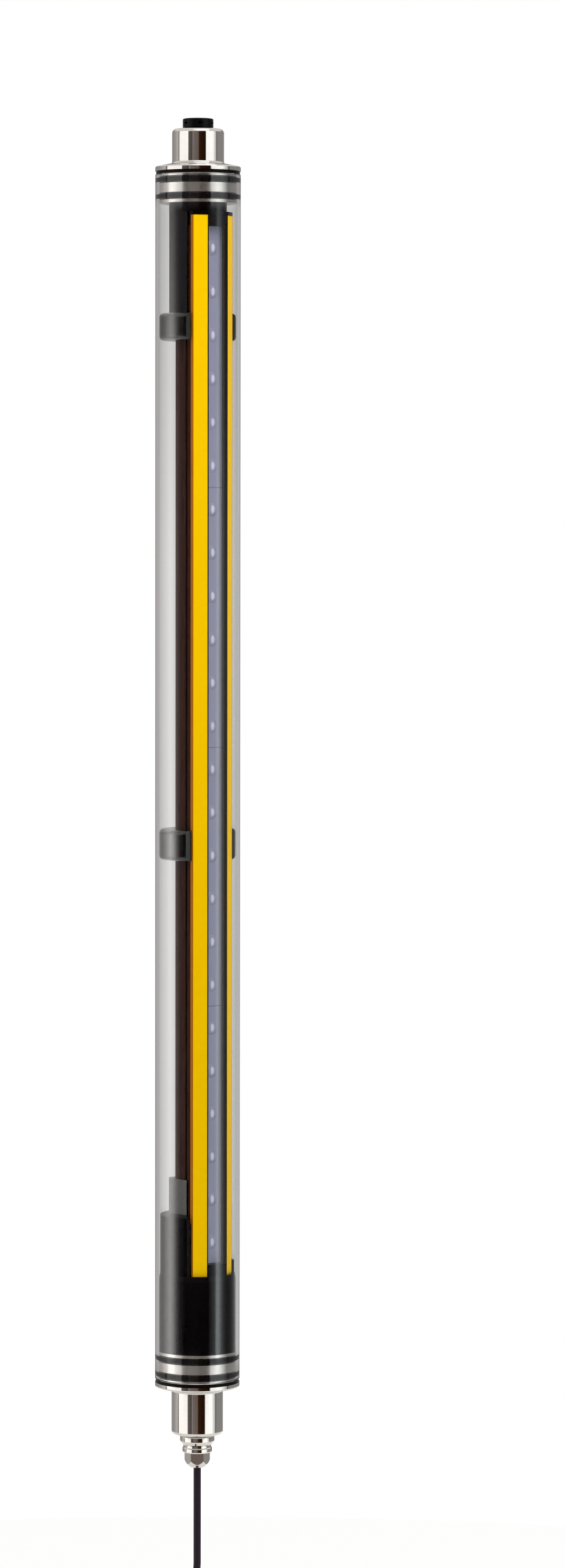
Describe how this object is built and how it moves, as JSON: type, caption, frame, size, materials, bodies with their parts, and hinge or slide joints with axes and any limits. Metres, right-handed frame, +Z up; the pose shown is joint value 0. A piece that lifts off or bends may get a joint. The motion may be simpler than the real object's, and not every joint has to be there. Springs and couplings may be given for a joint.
{
  "type": "safety light curtain",
  "caption": "Slim safety light curtain unit sealed in a clear wash-down tube, with steel end caps, round clamping stubs, a pressure vent, a cable gland and a thin lead.",
  "frame": {"origin": "on the tube's axis at the middle of the bottom stub's straight clamping land", "axes": "+Z up along the tube from the cable end to the vent end; the device looks out along -Y; +X is to the right of someone who faces the window"},
  "size_m": [0.0738, 0.06, 1.2216],
  "materials": {
    "clear_acrylic": "clear cast acrylic, polished",
    "polished_stainless": "turned and polished",
    "black_rubber": "satin moulded rubber",
    "black_plastic": "satin turned and milled plastic",
    "grey_plastic": "satin moulded plastic",
    "vent_membrane": "fine porous film",
    "dark_housing": "dark brown powder-coated extrusion",
    "smoked_window": "smoked clear plastic",
    "yellow_strip": "signal yellow, satin gloss",
    "lens_plastic": "moulded clear lens plate",
    "green_board": "solder mask on glass-fibre laminate",
    "emitter_package": "small lamp package",
    "link_plastic": "moulded board link",
    "zinc_steel": "plain stainless fastener",
    "nickel_brass": "nickel-plated",
    "lead_sheath": "smooth satin sheath",
    "core_insulation": "thin wire insulation",
    "tinned_ferrule": "tinned, crimped",
    "tie_plastic": "woven tie band"
  },
  "bodies": {
    "root": {"protective_tube": "clear_acrylic", "top_end_cap": "polished_stainless", "bottom_end_cap": "polished_stainless", "bottom_outer_o_ring": "black_rubber", "bottom_inner_o_ring": "black_rubber", "top_inner_o_ring": "black_rubber", "top_outer_o_ring": "black_rubber", "bottom_flange_gasket": "black_rubber", "top_flange_gasket": "black_rubber", "vent_seal": "black_rubber", "vent_body": "black_plastic", "vent_membrane": "vent_membrane", "vent_cap": "black_plastic", "gland_seal": "black_rubber", "gland_body": "polished_stainless", "gland_clamping_ring": "grey_plastic", "gland_sleeve": "black_rubber", "gland_cap_nut": "polished_stainless", "device_housing": "dark_housing", "front_window": "smoked_window", "left_yellow_strip": "yellow_strip", "right_yellow_strip": "yellow_strip", "device_lower_cap": "black_plastic", "device_upper_cap": "black_plastic", "lower_cap_gasket": "black_rubber", "upper_cap_gasket": "black_rubber", "emitters": "emitter_package", "control_board": "green_board", "board_links": "link_plastic", "bottom_holder": "black_plastic", "lower_bracket": "grey_plastic", "rear_cover": "black_plastic", "upper_bracket": "black_plastic", "upper_spacer": "grey_plastic", "middle_spacer": "grey_plastic", "top_puck": "black_plastic", "upper_cap_screws": "zinc_steel", "lower_cap_screws": "zinc_steel", "puck_screws": "zinc_steel", "holder_screws": "zinc_steel", "device_connector": "nickel_brass", "lead_plug": "black_plastic", "inner_lead": "lead_sheath", "cable": "lead_sheath", "cable_hank": "lead_sheath", "hank_tie": "tie_plastic", "lead_cores": "core_insulation", "core_ferrules": "tinned_ferrule", "optics_board_1": "green_board", "lens_carrier_1": "black_plastic", "lens_plate_1": "lens_plastic", "optics_board_2": "green_board", "lens_carrier_2": "black_plastic", "lens_plate_2": "lens_plastic", "optics_board_3": "green_board", "lens_carrier_3": "black_plastic", "lens_plate_3": "lens_plastic", "optics_board_4": "green_board", "lens_carrier_4": "black_plastic", "lens_plate_4": "lens_plastic"}
  },
  "joints": []
}
